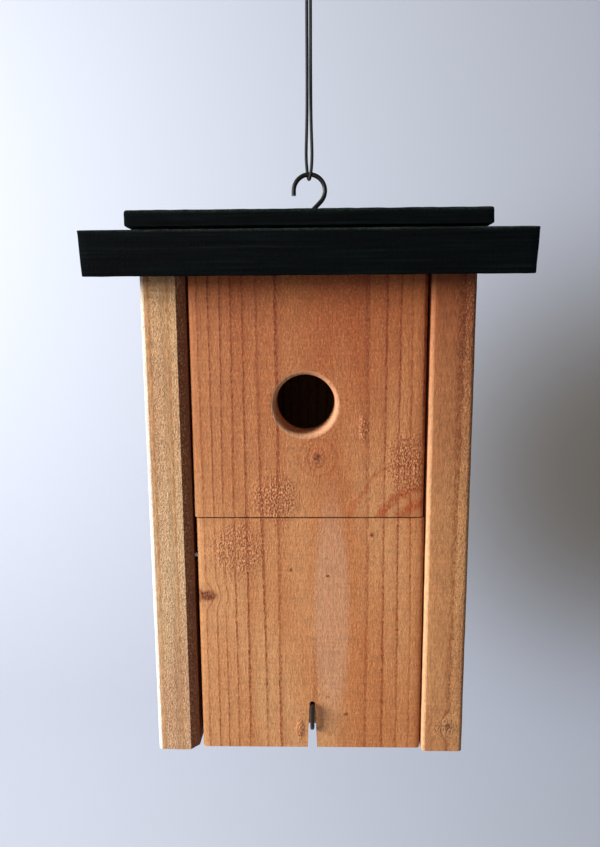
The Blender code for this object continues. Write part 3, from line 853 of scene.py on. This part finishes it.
bpy.ops.object.select_all(action="DESELECT")
reach = (high.y - FRONT) + 0.004
bpy.ops.mesh.primitive_cylinder_add(
    vertices=72,
    radius=HOLE_RADIUS,
    depth=reach - HOLE_RIM,
    location=hole + Vector((0, HOLE_RIM + (reach - HOLE_RIM) / 2, 0)),
    rotation=(math.pi / 2, 0, 0),
)
bit = bpy.context.object
bit.name = "hole_bit"
bpy.ops.object.transform_apply(location=True, rotation=True, scale=True)
pick(bit, "FACE", lambda middle, normal: normal.y < -0.99)
radius, back = HOLE_RADIUS, HOLE_RIM
STEPS = 6
for step in range(1, STEPS + 1):
    angle = step / STEPS * math.pi / 2
    new_radius = HOLE_RADIUS + HOLE_RIM * (1 - math.cos(angle))
    new_back = HOLE_RIM * (1 - math.sin(angle))
    bpy.ops.mesh.extrude_region_move(TRANSFORM_OT_translate={"value": (0, new_back - back, 0)})
    grow = new_radius / radius
    middle = hole + Vector((0, new_back, 0))
    bpy.ops.transform.resize(value=(grow, 1, grow), center_override=middle)
    radius, back = new_radius, new_back
bpy.ops.mesh.extrude_region_move(TRANSFORM_OT_translate={"value": (0, -0.003, 0)})
done(bit)

carve(panel, bit)
finish_plank(panel, red_fir, "box", "upper_front_panel")

# %% [markdown]
# ## The door
# The lower half of the front swings out on two nails. Its lower rear edge is rounded off so that it
# clears the floor as it swings, and a slot near the middle of its lower edge lets it close over the
# turn hook. The slot was sawn by hand, a little wider at its mouth, and it climbs a little towards
# the back, because the door tilts as it swings over the hook's arm. Both nails need holes.

# %% Make the door
low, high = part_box("front_door")
door = plank("door", low, high)
ease(door, lambda middle, way: upright(middle, way) and middle.y < FRONT + 0.001, 0.0022, 3)
ease(
    door,
    lambda middle, way: abs(way.x) > 0.99 and middle.y > high.y - 0.001 and middle.z < low.z + 0.001,
    0.006,
    5,
)
cut_rings(door, 0.004)

hook_low, hook_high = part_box("latch_hook")
SLOT_X = (hook_low.x + hook_high.x) / 2
SLOT_TOP = hook_high.z + 0.0008
SLOT_WIDTH = 0.0032
SLOT_MOUTH = 0.0055
SLOT_REAR_RISE = 0.0016
slot_cutter = plank(
    "slot_saw",
    Vector((SLOT_X - SLOT_WIDTH / 2, low.y - 0.002, low.z - 0.002)),
    Vector((SLOT_X + SLOT_WIDTH / 2, high.y + 0.002, SLOT_TOP)),
)
ease(slot_cutter, lambda middle, way: abs(way.y) > 0.99 and middle.z > SLOT_TOP - 0.001, 0.0015, 4)
pick(slot_cutter, "VERT", lambda middle, normal: middle.z < low.z)
bpy.ops.transform.resize(value=(SLOT_MOUTH / SLOT_WIDTH, 1, 1), center_override=(SLOT_X, 0, low.z))
done(slot_cutter)
pick(slot_cutter, "VERT", lambda middle, normal: middle.z > SLOT_TOP - 0.002 and middle.y > high.y)
bpy.ops.transform.translate(value=(0, 0, SLOT_REAR_RISE))
done(slot_cutter)
carve(door, slot_cutter)

PIVOT_BORE = 0.0032
PIVOT_DRILL = 0.052
for hand, side in (("left", low.x), ("right", high.x)):
    nail_low, nail_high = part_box("door_pivot_nail_" + hand)
    bpy.ops.object.select_all(action="DESELECT")
    bpy.ops.mesh.primitive_cylinder_add(
        vertices=24,
        radius=PIVOT_BORE / 2,
        depth=PIVOT_DRILL,
        location=(side, (nail_low.y + nail_high.y) / 2, (nail_low.z + nail_high.z) / 2),
        rotation=(0, math.pi / 2, 0),
    )
    drill = bpy.context.object
    bpy.ops.object.transform_apply(location=True, rotation=True, scale=True)
    pick(drill, "FACE", lambda middle, normal: abs(normal.x) > 0.99)
    bpy.ops.mesh.inset(thickness=0.0004)
    done(drill)
    carve(door, drill)
finish_plank(door, red_fir, "door", "front_door")

# %% [markdown]
# ## Black stained wood
# The roof boards and the batten on the ridge are rough sawn and stained black. The stain sinks in:
# the wood stays matt and its grain can still be felt. Edges and upper sides are paler, a greenish
# grey fuzz: partly wear, partly a painted highlight of the light from above, so the shade depends
# on which way the surface faces, and noise breaks it up.

# %% Black stained wood finish
black_stain, tree, shader = new_finish("black_stained_rough_wood", 0.85, Specular_IOR_Level=0.05)
coordinates = add(tree, "TexCoord", out="Object")
spot = add(tree, "Mapping", {"Vector": coordinates, "Scale": (1000, 1000, 1000)})
# Grain lines run along X, 1 to 2 mm apart on a sawn edge
grain = add(tree, "VectorMath", {0: spot, 1: (0.02, 0.7, 0.9)}, operation="MULTIPLY")
grain = add(tree, "TexNoise", {"Vector": grain, "Scale": 1.0, "Detail": 4.0, "Roughness": 0.65})
fuzz = add(tree, "VectorMath", {0: spot, 1: (0.8, 1, 0.8)}, operation="MULTIPLY")
fuzz = add(tree, "TexNoise", {"Vector": fuzz, "Scale": 0.9, "Detail": 4.0, "Roughness": 0.75})
broad = add(tree, "TexNoise", {"Vector": spot, "Scale": 0.03, "Detail": 2.0})
colour = add(
    tree,
    "ValToRGB",
    {"Fac": grain},
    stops=[(0.30, linear("#020405")), (0.55, linear("#080D0F")), (0.75, linear("#12191C"))],
)
# Faces that look upward get the greenish grey: worn fuzz and a painted highlight of the light from above
facing = add(tree, "TexCoord", out="Normal")
up = add(tree, "SeparateXYZ", {0: facing}, out=2)
up = add(tree, "MapRange", {"Value": up, "From Min": 0.12, "From Max": 0.75})
bare = add(tree, "MapRange", {"Value": fuzz, "From Min": 0.38, "From Max": 0.62})
wear_and_highlight = add(tree, "Math", {0: up, 1: bare}, operation="MULTIPLY")
patchy = add(
    tree, "MapRange", {"Value": broad, "From Min": 0.3, "From Max": 0.6, "To Min": 0.4, "To Max": 1.0}
)
wear_and_highlight = add(tree, "Math", {0: wear_and_highlight, 1: patchy}, operation="MULTIPLY")
colour = add(tree, "Mix", {0: wear_and_highlight, 6: colour, 7: linear("#39453F")}, out=2, data_type="RGBA")
tree.links.new(colour, shader.inputs["Base Color"])
height = add(tree, "Math", {0: grain, 1: fuzz}, operation="ADD")
relief = add(tree, "Bump", {"Height": height, "Distance": 0.0007, "Strength": 0.8})
tree.links.new(relief, shader.inputs["Normal"])
print("made", black_stain.name)

# %% [markdown]
# ## The roof
# Two boards meet over the middle of the box. Each is modelled lying flat, where easing and cutting
# are simple, then tipped to the roof's slope about its top corner at the ridge, and sawn upright
# at the ridge so that the two fit together. The corners are worn rounder on top.

# %% Make the roof boards
roof_low, roof_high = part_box("roof_front_board")
RIDGE_TOP = roof_high.z
THICK = 0.022
for part, side, slope in (("front", -1, ROOF_SLOPE), ("rear", 1, -ROOF_SLOPE)):
    low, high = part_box("roof_" + part + "_board")
    # The slope's length from the ridge to the upper outer corner
    reach = max(abs(low.y), abs(high.y)) / math.cos(ROOF_SLOPE)
    near, far = (-reach, 0.004) if side < 0 else (-0.004, reach)
    board = plank(
        "roof_" + part,
        Vector((low.x, near, RIDGE_TOP - THICK)),
        Vector((high.x, far, RIDGE_TOP)),
    )
    outer = near if side < 0 else far

    def on_top_corner(middle, way, at=outer):
        return abs(way.x) > 0.99 and abs(middle.y - at) < 0.001 and middle.z > RIDGE_TOP - 0.001

    def on_other_corners(middle, way, at=outer):
        low_down = middle.z < RIDGE_TOP - THICK + 0.001
        return abs(middle.y - at) < 0.0005 and (abs(way.z) > 0.9 or low_down)

    def on_ends(middle, way):
        return abs(way.y) > 0.99 and abs(middle.x) > 0.1

    ease(board, on_top_corner, 0.0017, 4)
    ease(board, on_other_corners, 0.0009, 2)
    ease(board, on_ends, 0.0009, 2)
    cut_rings(board, 0.004)
    board.matrix_world = (
        Matrix.Translation((0, 0, RIDGE_TOP))
        @ Matrix.Rotation(slope, 4, "X")
        @ Matrix.Translation((0, 0, -RIDGE_TOP))
    )
    only(board)
    bpy.ops.object.transform_apply(location=True, rotation=True, scale=True)
    slice_off(board, Vector((0, side * 0.00015, 0)), Vector((0, -side, 0)))
    roughen(board, 0.00022, 0.009)
    up = Vector((0, side * math.sin(ROOF_SLOPE), math.cos(ROOF_SLOPE)))
    dent_for_nails(board, up, "_roof_" + part)
    finish_plank(board, black_stain, "box", "roof_" + part + "_board")

# %% [markdown]
# ## The ridge batten
# A thin batten lies flat on the ridge and covers the joint. It is the most weathered piece: its
# upper edges are rounded nearly 3 mm, its ends are knocked round, and its surface is furry.

# %% Make the ridge batten
low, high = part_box("ridge_cap")
batten = plank("ridge_batten", low, high)
ease(batten, lambda middle, way: abs(way.x) > 0.99 and middle.z > high.z - 0.001, 0.0028, 4)
ease(batten, lambda middle, way: abs(middle.x) > high.x - 0.0005, 0.0012, 2)
cut_rings(batten, 0.003)
roughen(batten, 0.0003, 0.006)
dent_for_nails(batten, Vector((0, 0, 1)), "_cap_")
finish_plank(batten, black_stain, "box", "ridge_cap")

# %% [markdown]
# ## Boards nobody sees
# The back and the floor are plain rough boards, and the measured model already has their shape, so
# they keep it and only take the brown fir. The wood follows each one's own place in the trunk.

# %% Finish the back and the floor
for name in ("back_board", "floor_board"):
    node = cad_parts[name]
    for place in node.material_slots:
        place.material = brown_fir
    print(name, "takes", brown_fir.name)

# %% [markdown]
# ## Hooks
# Both hooks are steel wire with black enamel baked on: smooth and rather glossy, with small chips
# and scuffs where the string and fingers rub. A black that is not quite black and a low roughness
# with a little noise in it give those soft lights along the wire.

# %% Finish the hooks
enamel, tree, shader = new_finish("black_enamelled_wire", 0.3, Coat_Weight=0.4, Coat_Roughness=0.15)
spot = add(tree, "TexCoord", out="Object")
scuffs = add(tree, "TexNoise", {"Vector": spot, "Scale": 900.0, "Detail": 3.0, "Roughness": 0.7})
colour = add(
    tree,
    "ValToRGB",
    {"Fac": scuffs},
    stops=[(0.0, linear("#040505")), (0.60, linear("#0A0B0C")), (0.75, linear("#242728"))],
)
tree.links.new(colour, shader.inputs["Base Color"])
gloss = add(tree, "MapRange", {"Value": scuffs, "To Min": 0.2, "To Max": 0.5})
tree.links.new(gloss, shader.inputs["Roughness"])
relief = add(tree, "Bump", {"Height": scuffs, "Distance": 0.0001, "Strength": 0.4})
tree.links.new(relief, shader.inputs["Normal"])
for name in ("hanging_hook", "latch_hook"):
    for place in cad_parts[name].material_slots:
        place.material = enamel
print("made", enamel.name)

# %% [markdown]
# ## Nails
# Galvanised nails are dull grey with a faint crystal pattern in the zinc. It is a metal, so its
# colour is its reflection, and patches of slightly different roughness give the crystals.

# %% Finish the nails
zinc, tree, shader = new_finish("galvanised_steel", 0.45, metallic=1.0)
spot = add(tree, "TexCoord", out="Object")
crystals = add(tree, "TexVoronoi", {"Vector": spot, "Scale": 700.0}, out="Color")
patch = add(tree, "SeparateXYZ", {0: crystals})
colour = add(
    tree, "ValToRGB", {"Fac": patch}, stops=[(0.0, linear("#8C8F90")), (1.0, linear("#B4B6B5"))]
)
tree.links.new(colour, shader.inputs["Base Color"])
dull = add(tree, "MapRange", {"Value": patch, "To Min": 0.35, "To Max": 0.6})
tree.links.new(dull, shader.inputs["Roughness"])
count = 0
for name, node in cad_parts.items():
    if "nail" in name:
        count += 1
        stained = "_roof_" in name or "_cap_" in name
        for place in node.material_slots:
            place.material = black_stain if stained else zinc
print(count, "nails take", zinc.name, "or, in the roof, the stain that was brushed over them")

# %% [markdown]
# ## The room
# The birdhouse hangs in front of a pale wall. The wall is a plane whose lower edge is drawn forward
# into a floor, and the corner between them is rounded, so that no line shows. It stands a metre
# away, so that the birdhouse can be looked at from behind as well.

# %% Wall and floor
WALL_PLACE = Vector((0, 1.1, 0.9))
WALL_WIDTH = 7
WALL_HEIGHT = 4.4
FLOOR_REACH = 4.4
CORNER_RADIUS = 0.6
bpy.ops.object.select_all(action="DESELECT")
bpy.ops.mesh.primitive_plane_add(size=1, location=WALL_PLACE, rotation=(math.pi / 2, 0, 0))
wall = bpy.context.object
wall.name = "wall"
wall.scale = (WALL_WIDTH, WALL_HEIGHT, 1)
bpy.ops.object.transform_apply(location=True, rotation=True, scale=True)
pick(wall, "EDGE", lambda middle, way: middle.z < -1.2)
bpy.ops.mesh.extrude_region_move(TRANSFORM_OT_translate={"value": (0, -FLOOR_REACH, 0)})
done(wall)
pick(wall, "EDGE", lambda middle, way: middle.z < -1.2 and middle.y > 1.0 and abs(way.x) > 0.9)
bpy.ops.mesh.bevel(offset=CORNER_RADIUS, segments=12, profile=0.5, affect="EDGES")
bpy.ops.object.mode_set(mode="OBJECT")
bpy.ops.object.shade_smooth()

# Matt wall paint, pale and faintly blue, with the fine orange peel of a roller. On the right, away
# from the window, a soft brownish grey painted shadow of the birdhouse lies on it.
paint, tree, shader = new_finish("pale_matt_wall_paint", 0.9)
spot = add(tree, "TexCoord", out="Object")
shadow = oval(tree, spot, (0.80, 0, -0.10), (0.62, 0, 0.55))
shadow = add(
    tree,
    "MapRange",
    {"Value": shadow, "From Min": 0.1, "From Max": 1.5, "To Min": 0.92, "To Max": 0.0},
    interpolation_type="SMOOTHERSTEP",
)
colour = add(
    tree,
    "Mix",
    {0: shadow, 6: linear("#CED5E4"), 7: linear("#6E675B")},
    out=2,
    data_type="RGBA",
)
tree.links.new(colour, shader.inputs["Base Color"])
peel = add(tree, "TexNoise", {"Vector": spot, "Scale": 300.0, "Detail": 2.0})
relief = add(tree, "Bump", {"Height": peel, "Distance": 0.0005, "Strength": 0.3})
tree.links.new(relief, shader.inputs["Normal"])
wall.data.materials.append(paint)

# %% [markdown]
# ## The light
# Daylight comes through a window far round on the left, a little in front and above, so it grazes
# the front: every torn fibre throws a small shadow, the edges that face left shine, and those that
# face right go dark. So there is one large area light on the left, and only a faint one from the
# room and a dim sky to fill the shadows.


# %% Lights
def window_light(name, place, size, power, colour):
    """A square area light that shines on the middle of the box and can't be seen itself."""
    data = bpy.data.lights.new(name, "AREA")
    data.size = size
    data.energy = power
    data.color = linear(colour)[:3]
    made = bpy.data.objects.new(name, data)
    bpy.context.scene.collection.objects.link(made)
    made.location = place
    target = Vector((0, 0, 0.15))
    made.rotation_mode = "QUATERNION"
    made.rotation_quaternion = (target - Vector(place)).to_track_quat("-Z", "Y")
    made.visible_camera = False
    return made


window_light("window", (-1.9, -0.80, 0.85), 1.0, 98, "#FFFCF8")
window_light("room", (-0.5, -2.0, 0.3), 1.6, 5, "#FFF4E8")
sky = bpy.data.worlds.new("room_light")
sky.use_nodes = True
sky.node_tree.nodes["Background"].inputs["Color"].default_value = linear("#DADCE8")
sky.node_tree.nodes["Background"].inputs["Strength"].default_value = 0.09
bpy.context.scene.world = sky
# Colours are shown as they are mixed, with no film curve over them
bpy.context.scene.view_settings.view_transform = "Standard"
print("two area lights and a pale sky")
